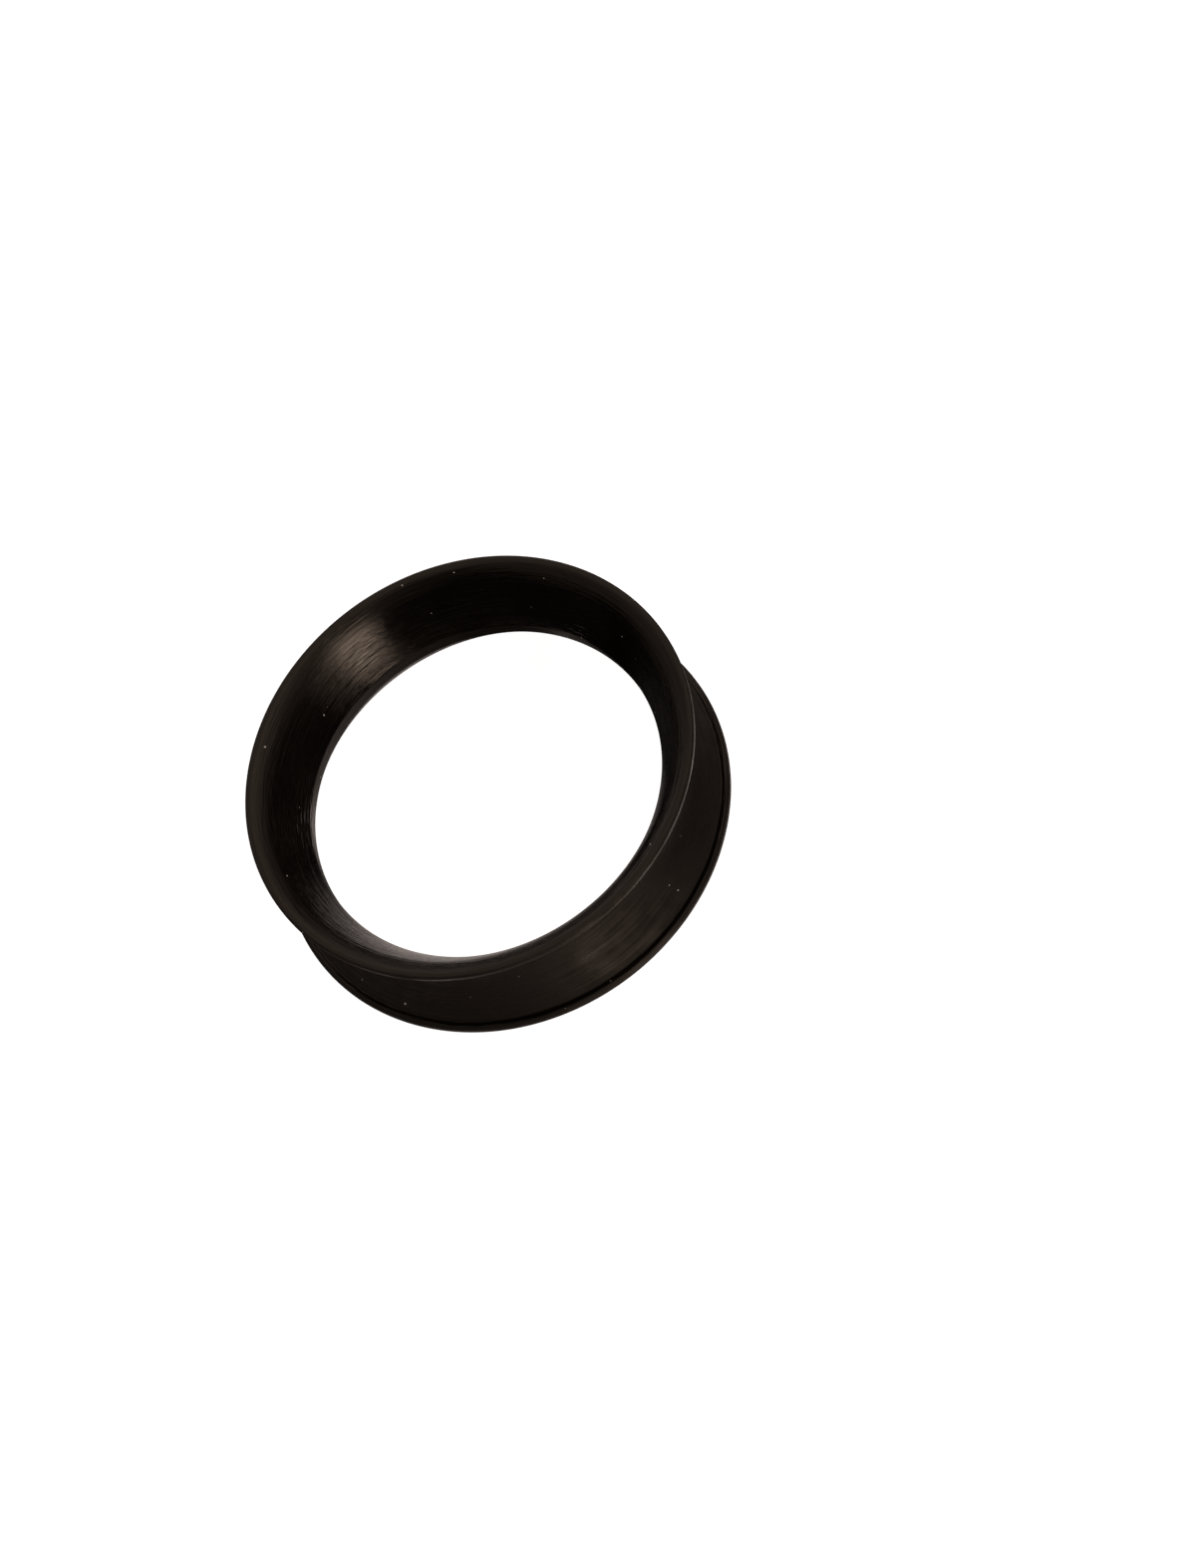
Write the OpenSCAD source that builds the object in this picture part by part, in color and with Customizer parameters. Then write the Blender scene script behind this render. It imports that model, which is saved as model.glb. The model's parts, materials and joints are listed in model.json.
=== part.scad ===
// Double-flared ear tunnel: one soft silicone ring, moulded in one piece.
// It lies flat on one flare. The hole runs along Z, and the origin is the middle of the lower rim plane.
// The section is drawn with x as the distance from the hole's axis and y as the height above that plane.

/* [Fit in the ear] */
// Diameter of the saddle at its waist, the size that the earlobe is stretched to
gauge_d = 28; // [20:0.5:40]
// How far each flare stands out past the waist
flare_reach = 2.5; // [2:0.1:4]
// Height from rim to rim
tunnel_h = 8.8; // [6:0.1:14]

/* [Hole] */
// Thickness of the wall at the waist
wall_t = 1.1; // [0.9:0.1:2]
// Length of the straight throat in the middle of the hole
throat_len = 0.9; // [0.4:0.1:2]
// Radius of the gentle swell of each flare between the throat and the lip
flare_swell_r = 17; // [8:1:40]

/* [Lip] */
// Thickness of the lip at its edge, which is fully round
lip_t = 0.6; // [0.4:0.05:0.9]
// Width of the lip's front face, from the crease in the flare to the edge
lip_front_w = 1.4; // [1.2:0.05:1.8]
// Drop of the lip's front face, from the rim plane to the crease in the flare
lip_drop = 0.45; // [0.2:0.05:0.55]
// Width of the lip's back face, from the edge to the crease where the saddle starts
lip_back_w = 0.8; // [0.5:0.05:1.2]
// Width of the flat land round the rim that the tunnel rests on
land_w = 0.25; // [0.1:0.05:0.4]

/* [Hidden] */
$fn = 180;

mid_h = tunnel_h / 2;
waist_r = gauge_d / 2;
flare_r = waist_r + flare_reach;
throat_r = waist_r - wall_t;

// Corners of the section's lower half
edge_centre = [flare_r - lip_t / 2, lip_t / 2];
land_in = [edge_centre.x - land_w, 0];
front_crease = [flare_r - lip_front_w, lip_drop];
back_crease = [flare_r - lip_back_w, lip_t];
throat_end = [throat_r, mid_h - throat_len / 2];

// Where the line of the lip's front face, carried on past the crease, meets the line of the throat
front_slope = lip_drop / (land_in.x - front_crease.x);
front_line_end = [throat_r, front_slope * (land_in.x - throat_r)];

// Each flare swells into the hole on one arc, from the throat's end to the front crease
flare_run = front_crease - throat_end;
flare_arc_depth = sqrt(flare_swell_r ^ 2 - (norm(flare_run) / 2) ^ 2);
flare_centre = (front_crease + throat_end) / 2
    + flare_arc_depth * [-flare_run.y, flare_run.x] / norm(flare_run);

// The saddle is one arc from back crease to back crease, through the waist
saddle_rise = mid_h - back_crease.y;
saddle_sag = back_crease.x - waist_r;
saddle_r = (saddle_rise ^ 2 + saddle_sag ^ 2) / (2 * saddle_sag);

// Straight-sided outline of the lower half, from the throat to the middle of the lip's round edge
module blank() {
    polygon([
        front_line_end,
        land_in,
        [edge_centre.x, 0],
        [edge_centre.x, mid_h],
        [throat_r, mid_h]
    ]);
}

// All that lies behind the flare's face
module behind_flare() {
    translate(flare_centre)
        circle(r = flare_swell_r);
}

// The groove round the outside that the earlobe sits in
module saddle() {
    intersection() {
        translate([waist_r + saddle_r, mid_h])
            circle(r = saddle_r);
        translate([0, lip_t])
            square([flare_r, mid_h]);
    }
}

module lip_edge() {
    translate(edge_centre)
        circle(d = lip_t);
}

module half_section() {
    difference() {
        intersection() {
            blank();
            behind_flare();
        }
        saddle();
    }
    lip_edge();
}

// Both halves of the section are alike
module tunnel_section() {
    half_section();
    translate([0, tunnel_h])
        mirror([0, 1])
            half_section();
}

module tunnel() {
    color([0.045, 0.035, 0.032])
        rotate_extrude()
            tunnel_section();
}

tunnel();
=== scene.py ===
"""A double-flared ear tunnel, one soft ring of black silicone, lying on a pale studio floor."""

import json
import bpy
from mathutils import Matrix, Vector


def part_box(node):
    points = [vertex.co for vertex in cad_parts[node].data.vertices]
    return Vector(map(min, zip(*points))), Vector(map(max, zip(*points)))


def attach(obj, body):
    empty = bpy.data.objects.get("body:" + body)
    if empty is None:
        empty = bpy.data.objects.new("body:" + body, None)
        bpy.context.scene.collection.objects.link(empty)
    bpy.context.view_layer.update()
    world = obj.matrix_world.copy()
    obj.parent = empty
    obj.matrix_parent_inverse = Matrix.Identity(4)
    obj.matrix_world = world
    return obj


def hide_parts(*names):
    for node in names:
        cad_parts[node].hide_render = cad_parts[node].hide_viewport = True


bl_info = {
    "name": "Silicone ear tunnel",
    "version": (1, 0, 0),
    "blender": (4, 5, 0),
    "location": "View3D > Sidebar > Ear tunnel",
    "description": "Moulds a double-flared silicone ear tunnel and lights it on a pale studio floor",
    "category": "Add Mesh",
}

from math import atan2, cos, pi, radians, sin, sqrt, tan

import bpy
from mathutils import Matrix, Vector

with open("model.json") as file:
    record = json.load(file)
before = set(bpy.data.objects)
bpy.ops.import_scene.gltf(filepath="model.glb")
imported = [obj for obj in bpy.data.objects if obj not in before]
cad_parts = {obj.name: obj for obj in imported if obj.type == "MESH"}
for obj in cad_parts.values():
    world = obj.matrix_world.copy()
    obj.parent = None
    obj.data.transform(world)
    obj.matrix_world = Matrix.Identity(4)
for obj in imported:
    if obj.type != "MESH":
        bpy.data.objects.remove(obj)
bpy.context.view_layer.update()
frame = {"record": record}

MM = 0.001
# The sizes of the record's mounts, in millimetres
MOUNT = {mount["name"]: mount["dims"] for mount in frame["record"]["mounts"]}
LOW_CORNER, HIGH_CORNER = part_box("tunnel")

# The photograph's frame, and where the ring's centre lies in it, in pixels from the top left
PHOTO_WIDTH = 1200
PHOTO_HEIGHT = 1573
RING_CENTRE_X = 489.6
RING_CENTRE_Y = 795.8
PIXELS_PER_FLARE_RADIUS = 236.8


class TunnelSizes(bpy.types.PropertyGroup):
    """Sizes of the ring's section"""

    flare_d: bpy.props.FloatProperty(
        name="Flare diameter",
        description="Across the edge of either lip",
        default=round(HIGH_CORNER.y - LOW_CORNER.y, 5),
        unit="LENGTH",
        precision=5,
    )
    height: bpy.props.FloatProperty(
        name="Height",
        description="From rim to rim",
        default=round(HIGH_CORNER.z - LOW_CORNER.z, 5),
        unit="LENGTH",
        precision=5,
    )
    waist_r: bpy.props.FloatProperty(
        name="Waist radius",
        description="Radius of the saddle at its waist, where the earlobe sits",
        default=MOUNT["saddle"]["r_mm"] * MM,
        unit="LENGTH",
        precision=5,
    )
    throat_r: bpy.props.FloatProperty(
        name="Throat radius",
        description="Radius of the hole at its narrowest",
        default=MOUNT["throat"]["r_mm"] * MM,
        unit="LENGTH",
        precision=5,
    )
    throat_len: bpy.props.FloatProperty(
        name="Throat length",
        description="Length of the straight throat in the middle of the hole",
        default=MOUNT["throat"]["length_mm"] * MM,
        unit="LENGTH",
        precision=5,
    )
    flare_swell_r: bpy.props.FloatProperty(
        name="Flare swell radius",
        description="Radius of the gentle swell of each flare between the throat and the lip",
        default=17 * MM,
        unit="LENGTH",
        precision=5,
    )
    lip_t: bpy.props.FloatProperty(
        name="Lip thickness",
        description="Thickness of the lip at its edge",
        default=0.6 * MM,
        unit="LENGTH",
        precision=5,
    )
    lip_front_w: bpy.props.FloatProperty(
        name="Lip front width",
        description="From the crease in the flare to the edge of the lip",
        default=1.4 * MM,
        unit="LENGTH",
        precision=5,
    )
    lip_drop: bpy.props.FloatProperty(
        name="Lip drop",
        description="From the rim plane down to the crease in the flare",
        default=0.45 * MM,
        unit="LENGTH",
        precision=5,
    )
    lip_back_w: bpy.props.FloatProperty(
        name="Lip back width",
        description="From the edge of the lip to the crease where the saddle starts",
        default=0.6 * MM,
        unit="LENGTH",
        precision=5,
    )
    land_w: bpy.props.FloatProperty(
        name="Land width",
        description="Width of the flat land round the rim that the ring rests on",
        default=0.25 * MM,
        unit="LENGTH",
        precision=5,
    )
    throat_round: bpy.props.FloatProperty(
        name="Throat rounding",
        description="Radius of the soft edge where a flare leaves the throat",
        default=0.6 * MM,
        unit="LENGTH",
        precision=5,
    )
    front_round: bpy.props.FloatProperty(
        name="Front rounding",
        description="Radius with which the flare rolls over into the lip's front face",
        default=3.2 * MM,
        unit="LENGTH",
        precision=5,
    )
    rim_round: bpy.props.FloatProperty(
        name="Rim rounding",
        description="Radius between the lip's front face and the land",
        default=0.8 * MM,
        unit="LENGTH",
        precision=5,
    )
    edge_front_round: bpy.props.FloatProperty(
        name="Edge rounding in front",
        description="Radius between the land and the edge of the lip",
        default=0.2 * MM,
        unit="LENGTH",
        precision=5,
    )
    edge_back_round: bpy.props.FloatProperty(
        name="Edge rounding at the back",
        description="Radius between the edge of the lip and the lip's back face",
        default=0.32 * MM,
        unit="LENGTH",
        precision=5,
    )
    back_round: bpy.props.FloatProperty(
        name="Back rounding",
        description="Radius of the hollow corner where the saddle meets the lip's back face",
        default=0.2 * MM,
        unit="LENGTH",
        precision=5,
    )


class SiliconeFinish(bpy.types.PropertyGroup):
    """Colour and surface of the silicone"""

    colour: bpy.props.FloatVectorProperty(
        name="Colour",
        description="Warm, brownish black of the silicone",
        default=(0.003, 0.0023, 0.002),
        subtype="COLOR",
        min=0,
        max=1,
    )
    sheen_tint: bpy.props.FloatVectorProperty(
        name="Sheen tint",
        description="Warm tint of the soft shine",
        default=(1.0, 0.87, 0.71),
        subtype="COLOR",
        min=0,
        max=1,
    )
    flare_roughness: bpy.props.FloatProperty(
        name="Flare roughness",
        description="Roughness of the flares, which the polished mould leaves with a soft shine",
        default=0.16,
        min=0,
        max=1,
        subtype="FACTOR",
    )
    saddle_roughness: bpy.props.FloatProperty(
        name="Saddle roughness",
        description="Roughness of the satin saddle and throat",
        default=0.65,
        min=0,
        max=1,
        subtype="FACTOR",
    )
    turned_sheen: bpy.props.FloatProperty(
        name="Turned sheen",
        description="How far the turned lines draw a highlight out across them",
        default=0.5,
        min=0,
        max=1,
        subtype="FACTOR",
    )
    line_pitch: bpy.props.FloatProperty(
        name="Turned line pitch",
        description="Usual distance from one turned line to the next",
        default=0.26 * MM,
        unit="LENGTH",
        precision=5,
    )
    line_length: bpy.props.FloatProperty(
        name="Turned line length",
        description="Usual distance round the ring over which a turned line fades in and out",
        default=6 * MM,
        unit="LENGTH",
        precision=5,
    )
    line_depth: bpy.props.FloatProperty(
        name="Turned line depth",
        description="Depth of the turned lines that the mould leaves",
        default=0.06 * MM,
        unit="LENGTH",
        precision=6,
    )
    mark_size: bpy.props.FloatProperty(
        name="Handling mark size",
        description="Usual size of the faint cloudy marks that handling leaves in the gloss",
        default=2.5 * MM,
        unit="LENGTH",
        precision=5,
    )
    dust_colour: bpy.props.FloatVectorProperty(
        name="Dust colour",
        description="Warm grey of the specks of dust",
        default=(0.5, 0.47, 0.44),
        subtype="COLOR",
        min=0,
        max=1,
    )
    dust_gap: bpy.props.FloatProperty(
        name="Dust gap",
        description="Usual distance between the places where a speck of dust may lie",
        default=1.2 * MM,
        unit="LENGTH",
        precision=5,
    )
    dust_r: bpy.props.FloatProperty(
        name="Dust radius",
        description="Largest radius of a speck of dust",
        default=0.075 * MM,
        unit="LENGTH",
        precision=6,
    )


class StudioStage(bpy.types.PropertyGroup):
    """Camera and floor"""

    view_elevation: bpy.props.FloatProperty(
        name="Camera elevation",
        description="Angle of the camera above the floor",
        default=radians(57.03),
        subtype="ANGLE",
    )
    view_roll: bpy.props.FloatProperty(
        name="Camera roll",
        description="How far the ring's axis leans to the left in the picture",
        default=radians(35.5),
        subtype="ANGLE",
    )
    view_distance: bpy.props.FloatProperty(
        name="Camera distance",
        description="From the lens to the middle of the ring",
        default=1.006,
        unit="LENGTH",
    )
    floor_size: bpy.props.FloatProperty(
        name="Floor size",
        description="Side of the square floor",
        default=4,
        unit="LENGTH",
    )
    floor_colour: bpy.props.FloatVectorProperty(
        name="Floor colour",
        description="Near-white of the floor",
        default=(0.8, 0.8, 0.8),
        subtype="COLOR",
        min=0,
        max=1,
    )
    floor_glow: bpy.props.FloatProperty(
        name="Floor glow",
        description="Light that the floor gives off by itself, which keeps it white",
        default=0.95,
        min=0,
    )


def select_nothing():
    """Leaves edit mode and deselects every object."""
    if bpy.context.object and bpy.context.object.mode != "OBJECT":
        bpy.ops.object.mode_set(mode="OBJECT")
    bpy.ops.object.select_all(action="DESELECT")


def left_of(way):
    """The unit way that lies to the left of a way in the section."""
    return Vector((-way.y, way.x))


def round_to_arc(corner, way, side, centre, arc_r, round_r):
    """Rounds the corner between a line along way and an arc that curve to the same side.

    side is the unit way from the line to the rounding's centre. Returns that centre, the rounding's end
    on the line and its end on the arc, of the solution nearest to the corner.
    """
    start = corner + side * round_r - centre
    along = start.dot(way)
    reach = sqrt(along**2 - start.length_squared + (arc_r - round_r) ** 2)
    options = [corner + side * round_r + way * (-along + sign * reach) for sign in (1, -1)]
    middle = min(options, key=lambda place: (place - corner).length)
    on_arc = centre + (middle - centre).normalized() * arc_r
    return middle, middle - side * round_r, on_arc


def section_strokes(sizes):
    """The start and the strokes of the section's lower half, from the throat's middle to the waist.

    Each stroke is its end, the centre of its arc or None where it is straight, and its number of steps.
    """
    flare_r = sizes.flare_d / 2
    mid_h = sizes.height / 2
    throat_mid = Vector((sizes.throat_r, mid_h))
    throat_end = Vector((sizes.throat_r, mid_h - sizes.throat_len / 2))
    front_crease = Vector((flare_r - sizes.lip_front_w, sizes.lip_drop))
    land_in = Vector((flare_r - sizes.lip_t / 2 - sizes.land_w, 0))
    back_crease = Vector((flare_r - sizes.lip_back_w, sizes.lip_t))
    waist = Vector((sizes.waist_r, mid_h))

    # The flare swells into the hole on one arc, and the saddle is one arc through the waist
    flare_run = front_crease - throat_end
    depth = sqrt(sizes.flare_swell_r**2 - (flare_run.length / 2) ** 2)
    flare_centre = (front_crease + throat_end) / 2 + depth * left_of(flare_run.normalized())
    rise = mid_h - back_crease.y
    sag = back_crease.x - sizes.waist_r
    saddle_r = (rise**2 + sag**2) / (2 * sag)
    saddle_centre = Vector((sizes.waist_r + saddle_r, mid_h))

    # Each rounding starts at a, ends at b and turns about c
    down = Vector((0, -1))
    up = Vector((0, 1))
    outwards = Vector((1, 0))
    throat_c, throat_a, throat_b = round_to_arc(
        throat_end, down, left_of(down), flare_centre, sizes.flare_swell_r, sizes.throat_round
    )
    lip_way = (land_in - front_crease).normalized()
    front_c, front_b, front_a = round_to_arc(
        front_crease, lip_way, left_of(lip_way), flare_centre, sizes.flare_swell_r, sizes.front_round
    )
    rim_bend = sizes.rim_round * tan(lip_way.angle(outwards) / 2)
    rim_a = land_in - lip_way * rim_bend
    rim_b = land_in + outwards * rim_bend
    rim_c = rim_b + up * sizes.rim_round
    edge_front_c = Vector((flare_r - sizes.edge_front_round, sizes.edge_front_round))
    edge_front_a = edge_front_c - up * sizes.edge_front_round
    edge_front_b = edge_front_c + outwards * sizes.edge_front_round
    edge_back_c = Vector((flare_r - sizes.edge_back_round, sizes.lip_t - sizes.edge_back_round))
    edge_back_a = edge_back_c + outwards * sizes.edge_back_round
    edge_back_b = edge_back_c + up * sizes.edge_back_round
    back_c, back_a, back_b = round_to_arc(
        back_crease, outwards, up, saddle_centre, saddle_r, sizes.back_round
    )
    return throat_mid, (
        (throat_a, None, 3),
        (throat_b, throat_c, 6),
        (front_a, flare_centre, 36),
        (front_b, front_c, 14),
        (rim_a, None, 1),
        (rim_b, rim_c, 7),
        (edge_front_a, None, 1),
        (edge_front_b, edge_front_c, 7),
        (edge_back_a, None, 1),
        (edge_back_b, edge_back_c, 7),
        (back_a, None, 2),
        (back_b, back_c, 5),
        (waist, saddle_centre, 44),
    )


def draw_line(start, end, steps):
    """Extrudes the selected vertex from start to end in equal steps."""
    step = (end - start) / steps
    for _ in range(steps):
        bpy.ops.mesh.extrude_region_move(TRANSFORM_OT_translate={"value": (step.x, 0, step.y)})


def draw_arc(start, end, centre, steps):
    """Spins the selected vertex about centre from start to end, by the shorter way round."""
    turn = atan2(end.y - centre.y, end.x - centre.x) - atan2(start.y - centre.y, start.x - centre.x)
    turn = (turn + pi) % (2 * pi) - pi
    bpy.ops.mesh.spin(steps=steps, angle=turn, center=(centre.x, 0, centre.y), axis=(0, 1, 0))


class EARTUNNEL_OT_mould_ring(bpy.types.Operator):
    """Draw the ring's section, turn it round the hole's axis and finish it as black silicone"""

    bl_idname = "eartunnel.mould_ring"
    bl_label = "Mould the ring"
    bl_options = {"REGISTER", "UNDO"}

    ROUND_STEPS = 288
    MERGE_REACH = 0.001 * MM
    # Edges that bend less than this are shaded as smooth
    SMOOTH_BELOW = radians(40)

    def execute(self, context):
        sizes = context.scene.ear_tunnel_sizes
        ring = self.draw_section(sizes)
        self.turn_section()
        ring.data.materials.append(silicone_material(context.scene.ear_tunnel_finish, sizes))
        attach(ring, "root")
        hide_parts("tunnel")
        return {"FINISHED"}

    def draw_section(self, sizes):
        """Draws the section's lower half stroke by stroke, and adds its mirror image above it."""
        start, strokes = section_strokes(sizes)
        select_nothing()
        bpy.ops.mesh.primitive_plane_add(size=MM, location=(0, 0, 0))
        ring = bpy.context.object
        ring.name = ring.data.name = "silicone_tunnel"
        bpy.ops.object.mode_set(mode="EDIT")
        bpy.ops.mesh.select_all(action="SELECT")
        bpy.ops.mesh.merge(type="CENTER")
        bpy.ops.transform.translate(value=(start.x, 0, start.y))
        for end, centre, steps in strokes:
            if centre is None:
                draw_line(start, end, steps)
            else:
                draw_arc(start, end, centre, steps)
            start = end
        bpy.ops.mesh.select_all(action="SELECT")
        bpy.ops.mesh.duplicate()
        bpy.ops.transform.resize(value=(1, 1, -1), center_override=(0, 0, sizes.height / 2))
        bpy.ops.mesh.select_all(action="SELECT")
        bpy.ops.mesh.remove_doubles(threshold=self.MERGE_REACH)
        return ring

    def turn_section(self):
        """Turns the section round the hole's axis into one closed ring."""
        bpy.ops.mesh.select_all(action="SELECT")
        bpy.ops.mesh.spin(steps=self.ROUND_STEPS, angle=2 * pi, center=(0, 0, 0), axis=(0, 0, 1))
        bpy.ops.mesh.select_all(action="SELECT")
        bpy.ops.mesh.remove_doubles(threshold=self.MERGE_REACH)
        bpy.ops.mesh.normals_make_consistent(inside=False)
        bpy.ops.object.mode_set(mode="OBJECT")
        bpy.ops.object.shade_smooth_by_angle(angle=self.SMOOTH_BELOW)


class NodeBoard:
    """Lays out the nodes of one material or world and joins them."""

    COLUMN = 200
    ROW = 180

    def __init__(self, owner):
        owner.use_nodes = True
        self.tree = owner.node_tree
        self.tree.nodes.clear()

    def add(self, kind, column, row, label="", **settings):
        node = self.tree.nodes.new(kind)
        node.location = (column * self.COLUMN, -row * self.ROW)
        node.label = label
        for name, value in settings.items():
            setattr(node, name, value)
        return node

    def join(self, source, target):
        self.tree.links.new(source, target)

    def maths(self, operation, column, row, first, second=None, label=""):
        """Adds a Math node on one or two sockets or numbers, and returns its result."""
        node = self.add("ShaderNodeMath", column, row, label, operation=operation)
        for socket, value in zip(node.inputs, (first, second)):
            if value is None:
                continue
            if isinstance(value, bpy.types.NodeSocket):
                self.join(value, socket)
            else:
                socket.default_value = value
        return node.outputs[0]


# Fineness of the turned lines and of the handling marks: how many finer layers lie on the first one,
# and how strong each layer is beside the one before
LINE_LAYERS = 3
LINE_LAYER_STRENGTH = 0.68
MARK_LAYERS = 4
# How far a surface faces outwards, from -1 to 1, where it begins to be satin and where it is fully so
SADDLE_FACING = (0.1, 0.5)
THROAT_FACING = (-0.95, -0.99)
DUST_ROUGHNESS = 0.5
SILICONE_IOR = 1.43
# Turns the draw of the highlights from along the lines to across them
QUARTER_TURN = 0.25


def turned_lines(board, finish, sizes, flat_unit):
    """Fine lines round the ring, which fade in and out along their way, as a height between 0 and 1."""
    place = board.add("ShaderNodeTexCoord", 0, 0)
    parts = board.add("ShaderNodeSeparateXYZ", 1, 0)
    board.join(place.outputs["Object"], parts.inputs[0])
    radius = board.add("ShaderNodeVectorMath", 2, 1, "Distance from the axis", operation="LENGTH")
    board.join(flat_place(board), radius.inputs[0])

    # The way along the section rises with the height from the waist and half the distance from the axis
    above_mid = board.maths("SUBTRACT", 2, 0, parts.outputs["Z"], sizes.height / 2)
    from_mid = board.maths("ABSOLUTE", 3, 0, above_mid, label="Height from the waist")
    half_radius = board.maths("MULTIPLY", 3, 1, radius.outputs["Value"], 1 / 2)
    along = board.maths("ADD", 4, 0, from_mid, half_radius, "Way along the section")
    pitches = board.maths("DIVIDE", 5, 0, along, finish.line_pitch, "Lines along the section")
    turn = board.add("ShaderNodeVectorMath", 5, 1, "Lengths round the ring", operation="SCALE")
    turn.inputs["Scale"].default_value = sizes.waist_r / finish.line_length
    board.join(flat_unit, turn.inputs[0])
    turn_parts = board.add("ShaderNodeSeparateXYZ", 6, 1)
    board.join(turn.outputs[0], turn_parts.inputs[0])
    spot = board.add("ShaderNodeCombineXYZ", 7, 0)
    board.join(pitches, spot.inputs["X"])
    board.join(turn_parts.outputs["X"], spot.inputs["Y"])
    board.join(turn_parts.outputs["Y"], spot.inputs["Z"])
    lines = board.add("ShaderNodeTexNoise", 8, 0, "Turned lines")
    lines.inputs["Scale"].default_value = 1
    lines.inputs["Detail"].default_value = LINE_LAYERS
    lines.inputs["Roughness"].default_value = LINE_LAYER_STRENGTH
    board.join(spot.outputs[0], lines.inputs["Vector"])
    return lines.outputs[0]


def flat_place(board):
    """The place on the ring without its height."""
    place = board.add("ShaderNodeTexCoord", 0, 2)
    flat = board.add("ShaderNodeVectorMath", 1, 2, "Place without its height", operation="MULTIPLY")
    flat.inputs[1].default_value = (1, 1, 0)
    board.join(place.outputs["Object"], flat.inputs[0])
    return flat.outputs[0]


def satin_mask(board, outward):
    """0 on the polished flares and rims, 1 on all that faces outwards and in the throat."""
    surface = board.add("ShaderNodeNewGeometry", 2, 4)
    facing = board.add("ShaderNodeVectorMath", 3, 4, "Facing outwards", operation="DOT_PRODUCT")
    board.join(surface.outputs["Normal"], facing.inputs[0])
    board.join(outward, facing.inputs[1])
    parts = []
    for row, name, limits in ((4, "On the saddle", SADDLE_FACING), (5, "In the throat", THROAT_FACING)):
        part = board.add("ShaderNodeMapRange", 4, row, name, interpolation_type="SMOOTHSTEP")
        part.inputs["From Min"].default_value = limits[0]
        part.inputs["From Max"].default_value = limits[1]
        board.join(facing.outputs["Value"], part.inputs["Value"])
        parts.append(part.outputs[0])
    return board.maths("MAXIMUM", 5, 4, *parts, "On the satin parts")


def dust_mask(board, finish):
    """1 on a few tiny specks of dust, 0 elsewhere."""
    place = board.add("ShaderNodeTexCoord", 0, 6)
    cells = board.add("ShaderNodeTexVoronoi", 1, 6, "Places where dust may lie")
    cells.inputs["Scale"].default_value = 1 / finish.dust_gap
    board.join(place.outputs["Object"], cells.inputs["Vector"])
    chance = board.add("ShaderNodeSeparateColor", 2, 6)
    board.join(cells.outputs["Color"], chance.inputs[0])
    largest = finish.dust_r / finish.dust_gap
    reach = board.maths("MULTIPLY", 3, 6, chance.outputs["Red"], largest, "Size of the speck")
    return board.maths("LESS_THAN", 4, 6, cells.outputs["Distance"], reach, "Dust")


def handling_marks(board, finish):
    """Faint clouds between 0 and 1."""
    place = board.add("ShaderNodeTexCoord", 0, 5)
    clouds = board.add("ShaderNodeTexNoise", 1, 5, "Handling marks")
    clouds.inputs["Scale"].default_value = 1 / finish.mark_size
    clouds.inputs["Detail"].default_value = MARK_LAYERS
    board.join(place.outputs["Object"], clouds.inputs["Vector"])
    return clouds.outputs[0]


def silicone_material(finish, sizes):
    """Black silicone, polished and satin, with turned lines from the mould, handling marks and dust.

    The turned lines are a shallow relief, and they draw each highlight out across them.
    """
    material = bpy.data.materials.new("satin_black_silicone")
    board = NodeBoard(material)
    outward = board.add("ShaderNodeVectorMath", 2, 2, "Way outwards", operation="NORMALIZE")
    board.join(flat_place(board), outward.inputs[0])
    flat_unit = outward.outputs[0]
    round_way = board.add("ShaderNodeVectorMath", 3, 2, "Way round the ring", operation="CROSS_PRODUCT")
    round_way.inputs[0].default_value = (0, 0, 1)
    board.join(flat_unit, round_way.inputs[1])

    relief = board.add("ShaderNodeBump", 9, 1, "Turned relief")
    relief.inputs["Strength"].default_value = 1
    relief.inputs["Distance"].default_value = finish.line_depth
    lines = turned_lines(board, finish, sizes, flat_unit)
    board.join(lines, relief.inputs["Height"])
    dust = dust_mask(board, finish)

    rough = board.add("ShaderNodeMapRange", 6, 4, "Roughness from polished to satin")
    rough.inputs["To Min"].default_value = finish.flare_roughness
    rough.inputs["To Max"].default_value = finish.saddle_roughness
    board.join(satin_mask(board, flat_unit), rough.inputs["Value"])
    uneven = board.maths("ADD", 9, 3, lines, handling_marks(board, finish), "Streaks and marks")
    uneven_rough = board.maths("MULTIPLY", 10, 4, rough.outputs[0], uneven, "Uneven roughness")
    dust_rough = board.maths("MULTIPLY", 6, 5, dust, DUST_ROUGHNESS, "Roughness of the dust")
    dusty_rough = board.maths("ADD", 11, 4, uneven_rough, dust_rough, "Roughness with dust")
    colour = board.add("ShaderNodeMix", 7, 6, "Silicone or dust", data_type="RGBA")
    colour.inputs["A"].default_value = (*finish.colour, 1)
    colour.inputs["B"].default_value = (*finish.dust_colour, 1)
    board.join(dust, colour.inputs["Factor"])

    skin = board.add("ShaderNodeBsdfPrincipled", 12, 1, "Silicone")
    skin.inputs["Specular Tint"].default_value = (*finish.sheen_tint, 1)
    skin.inputs["Anisotropic"].default_value = finish.turned_sheen
    skin.inputs["Anisotropic Rotation"].default_value = QUARTER_TURN
    skin.inputs["IOR"].default_value = SILICONE_IOR
    board.join(colour.outputs["Result"], skin.inputs["Base Color"])
    board.join(dusty_rough, skin.inputs["Roughness"])
    board.join(round_way.outputs[0], skin.inputs["Tangent"])
    board.join(relief.outputs[0], skin.inputs["Normal"])
    output = board.add("ShaderNodeOutputMaterial", 14, 1)
    board.join(skin.outputs[0], output.inputs["Surface"])
    return material


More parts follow.
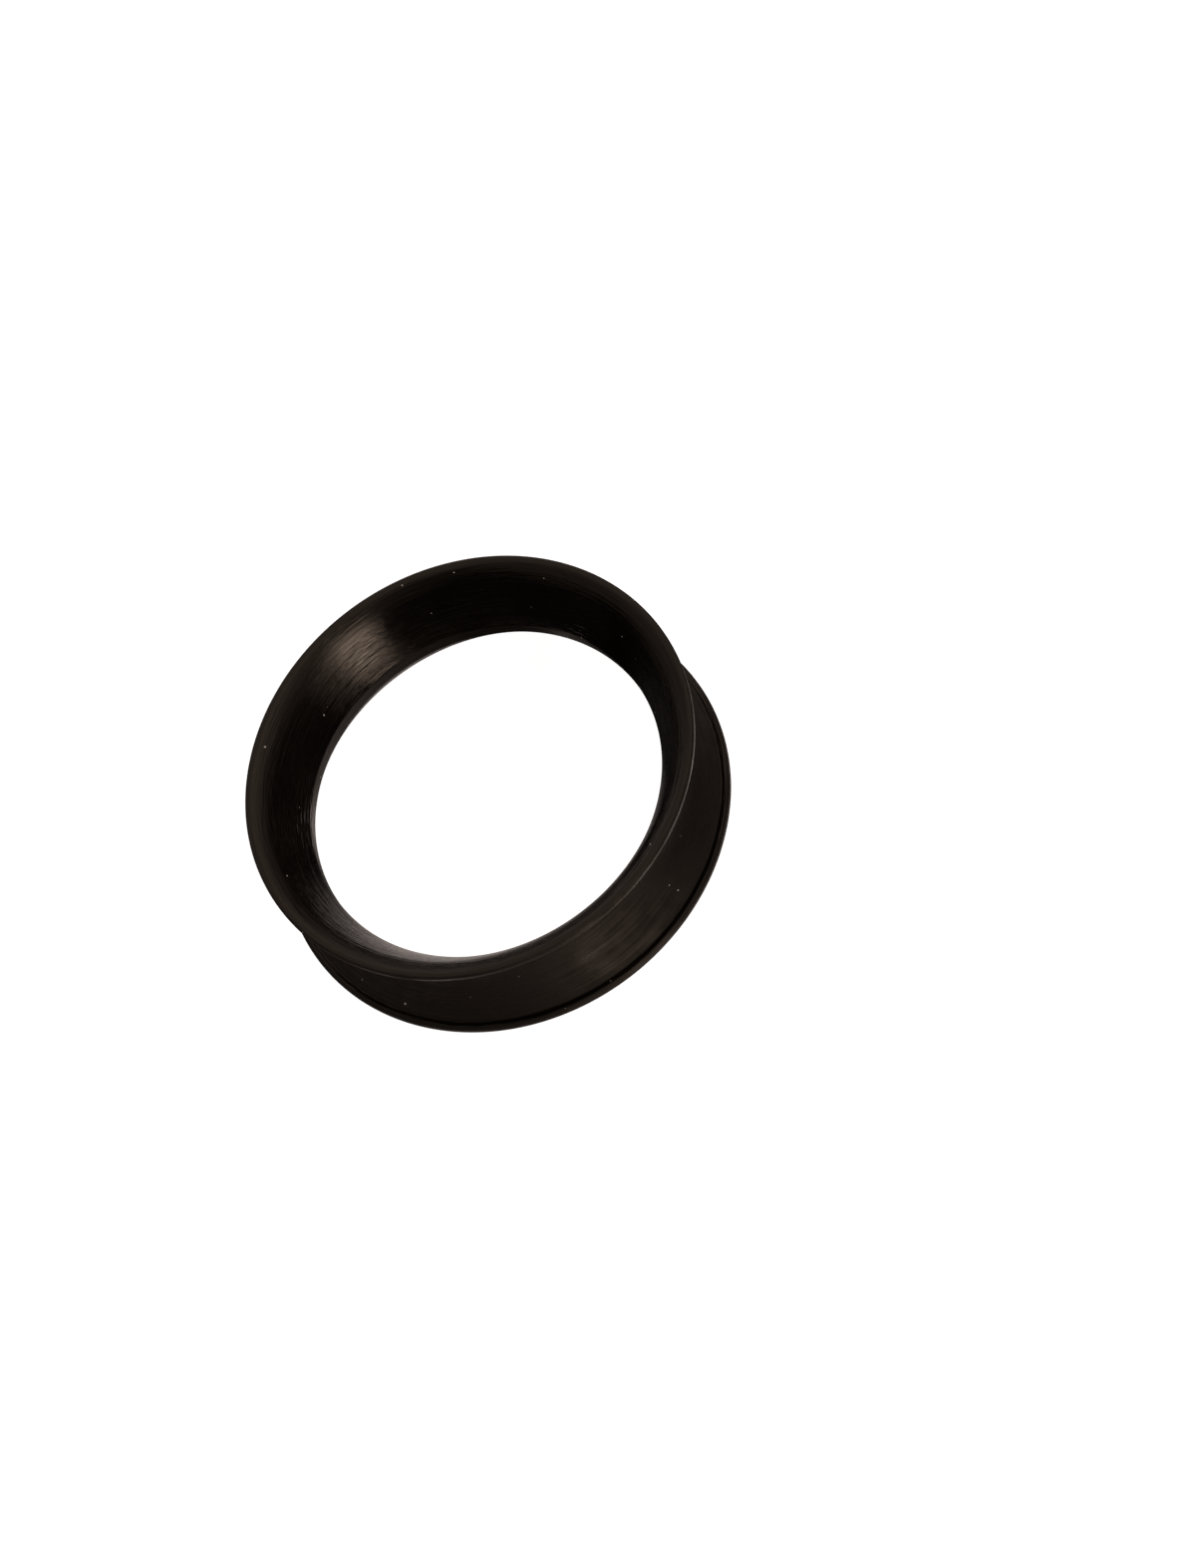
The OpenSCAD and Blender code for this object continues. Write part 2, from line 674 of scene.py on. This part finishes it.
def stage_material(name, colour, roughness, shine, glow):
    """Plain material of a part of the stage, which gives off white light where glow is above 0."""
    material = bpy.data.materials.new(name)
    board = NodeBoard(material)
    surface = board.add("ShaderNodeBsdfPrincipled", 1, 0)
    surface.inputs["Base Color"].default_value = (*colour, 1)
    surface.inputs["Roughness"].default_value = roughness
    surface.inputs["Specular IOR Level"].default_value = shine
    surface.inputs["Emission Color"].default_value = (1, 1, 1, 1)
    surface.inputs["Emission Strength"].default_value = glow
    output = board.add("ShaderNodeOutputMaterial", 3, 0)
    board.join(surface.outputs[0], output.inputs["Surface"])
    return material


# Soft panels round the ring: the azimuth and elevation of their middle, their spread across and upwards,
# all in degrees as the ring sees them, and the brightness of their surface. The camera's side is at
# azimuth 270. The floor is a light table, so the panels below it shine up through it.
PANELS = (
    ("key_panel", 279, 10, 18, 38, 4.2),
    ("key_low_panel", 269, -5, 19, 16, 3.4),
    ("key_high_panel", 282, 44, 24, 26, 1.5),
    ("table_left_panel", 195, -6, 130, 12, 0.8),
    ("table_right_panel", 36, -6, 76, 12, 0.95),
)
# Soft glows of the studio's walls, ceiling and light table: the azimuth and elevation of their middle,
# the angle from it at which they have faded out, all in degrees, and the brightness of their middle
GLOWS = (
    ("Soft edge of the key light", 291, 15, 19, 1.0),
    ("Far wall", 80, 14, 42, 0.36),
    ("Left side of the far wall", 120, 22, 38, 0.26),
    ("Left wall", 165, 50, 34, 0.24),
    ("Far side of the ceiling", 42, 60, 52, 0.6),
    ("Right side of the ceiling", 315, 60, 60, 0.18),
    ("Far part of the table", 64, -36, 30, 0.4),
    ("Far left part of the table", 125, -20, 26, 0.06),
    ("Near part of the table", 258, -34, 28, 0.25),
    ("Table below in front", 290, -62, 26, 0.6),
    ("Table below on the right", 355, -61, 27, 7.0),
    ("Table below on the far side", 72, -58, 22, 0.45),
    ("Table below on the left", 190, -58, 26, 1.6),
)
# Brightness of the studio between the glows
AIR_BRIGHTNESS = 0.002
# Tint of the panels and the glows
WARM_WHITE = (1, 0.86, 0.8)
# From the middle of the ring to each panel, in metres
PANEL_DISTANCE = 0.6
# Energy that a square metre of a panel takes for each unit of brightness
PANEL_ENERGY = 4


def way_to(azimuth, elevation):
    """The unit way to a place in the studio, from its azimuth and elevation in degrees."""
    return Vector((
        cos(radians(azimuth)) * cos(radians(elevation)),
        sin(radians(azimuth)) * cos(radians(elevation)),
        sin(radians(elevation)),
    ))


def add_panel(name, azimuth, elevation, across, upwards, brightness, aim):
    """Hangs a soft rectangular panel that faces the ring."""
    way = way_to(azimuth, elevation)
    select_nothing()
    bpy.ops.object.light_add(type="AREA", location=aim + way * PANEL_DISTANCE)
    panel = bpy.context.object
    panel.name = panel.data.name = name
    panel.visible_camera = False
    panel.rotation_euler = (-way).to_track_quat("-Z", "Y").to_euler()
    panel.data.color = WARM_WHITE
    panel.data.shape = "RECTANGLE"
    panel.data.size = 2 * PANEL_DISTANCE * cos(radians(elevation)) * tan(radians(across) / 2)
    panel.data.size_y = 2 * PANEL_DISTANCE * tan(radians(upwards) / 2)
    panel.data.energy = PANEL_ENERGY * panel.data.size * panel.data.size_y * brightness


class EARTUNNEL_OT_set_stage(bpy.types.Operator):
    """Lay the pale floor, place the soft lights and aim the camera as the photograph was taken"""

    bl_idname = "eartunnel.set_stage"
    bl_label = "Set the stage"
    bl_options = {"REGISTER", "UNDO"}

    # Side of the camera's square sensor in millimetres, and the nearest thing that it sees in metres
    SENSOR = 36
    NEAREST = 0.01
    # Roughness and shine of the floor
    FLOOR_FINISH = (0.9, 0.1)
    # Colour, roughness and shine of the dark sheet of painted shade on the floor at the foot of the far
    # wall
    PAINTED_SHADE_COLOUR = (0.004, 0.004, 0.004)
    SHADE_FINISH = (1, 0)
    # The painted shade's half-width and half-depth, how far it lies behind the ring's middle and above
    # the floor, and the number of its sides
    SHADE_REACH = 10.5 * MM
    SHADE_DEPTH = 3.6 * MM
    SHADE_MIDDLE = 10.6 * MM
    SHADE_HEIGHT = 0.1 * MM
    SHADE_SIDES = 48

    def execute(self, context):
        stage = context.scene.ear_tunnel_stage
        sizes = context.scene.ear_tunnel_sizes
        middle = Vector((0, 0, sizes.height / 2))
        self.lay_floor(stage)
        # Painted shade: a dark sheet on the floor inside the ring, seen only in reflections
        self.paint_shade_at_far_wall()
        for panel in PANELS:
            add_panel(*panel, middle)
        self.fill_world(context)
        self.aim_camera(context, stage, sizes, middle)
        context.scene.view_settings.view_transform = "Standard"
        return {"FINISHED"}

    def lay_floor(self, stage):
        """Lays a floor that the camera sees as white, and that the panels below it shine through."""
        select_nothing()
        bpy.ops.mesh.primitive_plane_add(size=stage.floor_size, location=(0, 0, 0))
        floor = bpy.context.object
        floor.name = floor.data.name = "floor"
        floor.visible_diffuse = floor.visible_glossy = floor.visible_shadow = False
        floor.data.materials.append(
            stage_material("light_table", stage.floor_colour, *self.FLOOR_FINISH, stage.floor_glow)
        )

    def paint_shade_at_far_wall(self):
        """Lays a dark sheet of painted shade on the floor inside the ring at the foot of its far wall,
        where the wall keeps the light off the floor.

        The camera looks through the sheet. It only darkens what the throat reflects.
        """
        select_nothing()
        bpy.ops.mesh.primitive_circle_add(
            vertices=self.SHADE_SIDES, radius=self.SHADE_REACH, fill_type="NGON"
        )
        shade = bpy.context.object
        shade.name = shade.data.name = "painted_far_wall_shade"
        bpy.ops.object.mode_set(mode="EDIT")
        bpy.ops.mesh.select_all(action="SELECT")
        bpy.ops.transform.resize(value=(1, self.SHADE_DEPTH / self.SHADE_REACH, 1))
        bpy.ops.transform.translate(value=(0, self.SHADE_MIDDLE, self.SHADE_HEIGHT))
        bpy.ops.object.mode_set(mode="OBJECT")
        shade.visible_camera = shade.visible_shadow = False
        # The sheet's near-black material is painted shade, which the throat reflects
        shade.data.materials.append(
            stage_material("painted_table_shade", self.PAINTED_SHADE_COLOUR, *self.SHADE_FINISH, 0)
        )

    def fill_world(self, context):
        """Adds up the glows, each of which fades out smoothly round its middle."""
        world = bpy.data.worlds.new("studio")
        board = NodeBoard(world)
        looking = board.add("ShaderNodeTexCoord", 0, 0)
        total = AIR_BRIGHTNESS
        for row, (name, azimuth, elevation, reach, brightness) in enumerate(GLOWS):
            near = board.add("ShaderNodeVectorMath", 1, row, name, operation="DOT_PRODUCT")
            board.join(looking.outputs["Generated"], near.inputs[0])
            near.inputs[1].default_value = way_to(azimuth, elevation)
            glow = board.add("ShaderNodeMapRange", 2, row, name, interpolation_type="SMOOTHSTEP")
            glow.inputs["From Min"].default_value = cos(radians(reach))
            glow.inputs["To Max"].default_value = brightness
            board.join(near.outputs["Value"], glow.inputs["Value"])
            total = board.maths("ADD", row + 3, row, glow.outputs[0], total)
        air = board.add("ShaderNodeBackground", len(GLOWS) + 3, 0)
        air.inputs["Color"].default_value = (*WARM_WHITE, 1)
        board.join(total, air.inputs["Strength"])
        output = board.add("ShaderNodeOutputWorld", len(GLOWS) + 4, 0)
        board.join(air.outputs[0], output.inputs["Surface"])
        context.scene.world = world

    def aim_camera(self, context, stage, sizes, middle):
        """Aims the camera so that the ring lies in the frame as it lies in the photograph's."""
        tilt = pi / 2 - stage.view_elevation
        pixels_per_metre = PIXELS_PER_FLARE_RADIUS / (sizes.flare_d / 2)
        focal_pixels = pixels_per_metre * stage.view_distance
        away = Vector((0, -sin(tilt), cos(tilt)))
        lean = Matrix.Rotation(stage.view_roll, 3, "Z") @ Matrix.Rotation(-tilt, 3, "X")
        off_x = RING_CENTRE_X - PHOTO_WIDTH / 2
        off_y = PHOTO_HEIGHT / 2 - RING_CENTRE_Y
        to_ring = Vector((off_x, off_y, -focal_pixels))
        turn = to_ring.rotation_difference(Vector((0, 0, -1))).to_matrix()
        select_nothing()
        bpy.ops.object.camera_add(location=middle + away * stage.view_distance)
        camera = bpy.context.object
        camera.name = camera.data.name = "camera"
        camera.rotation_euler = (lean.transposed() @ turn).to_euler()
        camera.data.sensor_fit = "VERTICAL"
        camera.data.sensor_height = self.SENSOR
        camera.data.sensor_width = self.SENSOR
        camera.data.lens = focal_pixels * self.SENSOR / PHOTO_HEIGHT
        camera.data.clip_start = self.NEAREST
        context.scene.camera = camera


class EARTUNNEL_PT_panel(bpy.types.Panel):
    """Sizes, finish and steps of the ear tunnel"""

    bl_idname = "EARTUNNEL_PT_panel"
    bl_label = "Ear tunnel"
    bl_space_type = "VIEW_3D"
    bl_region_type = "UI"
    bl_category = "Ear tunnel"

    def draw(self, context):
        scene = context.scene
        for title, group in (
            ("Sizes", scene.ear_tunnel_sizes),
            ("Silicone", scene.ear_tunnel_finish),
            ("Stage", scene.ear_tunnel_stage),
        ):
            box = self.layout.box()
            box.label(text=title)
            for name in group.__annotations__:
                box.prop(group, name)
        self.layout.operator(EARTUNNEL_OT_mould_ring.bl_idname)
        self.layout.operator(EARTUNNEL_OT_set_stage.bl_idname)


CLASSES = (
    TunnelSizes,
    SiliconeFinish,
    StudioStage,
    EARTUNNEL_OT_mould_ring,
    EARTUNNEL_OT_set_stage,
    EARTUNNEL_PT_panel,
)


def register():
    for item in CLASSES:
        bpy.utils.register_class(item)
    bpy.types.Scene.ear_tunnel_sizes = bpy.props.PointerProperty(type=TunnelSizes)
    bpy.types.Scene.ear_tunnel_finish = bpy.props.PointerProperty(type=SiliconeFinish)
    bpy.types.Scene.ear_tunnel_stage = bpy.props.PointerProperty(type=StudioStage)


def unregister():
    del bpy.types.Scene.ear_tunnel_stage
    del bpy.types.Scene.ear_tunnel_finish
    del bpy.types.Scene.ear_tunnel_sizes
    for item in reversed(CLASSES):
        bpy.utils.unregister_class(item)


def main():
    register()
    bpy.ops.eartunnel.mould_ring()
    bpy.ops.eartunnel.set_stage()


if __name__ == "__main__":
    main()
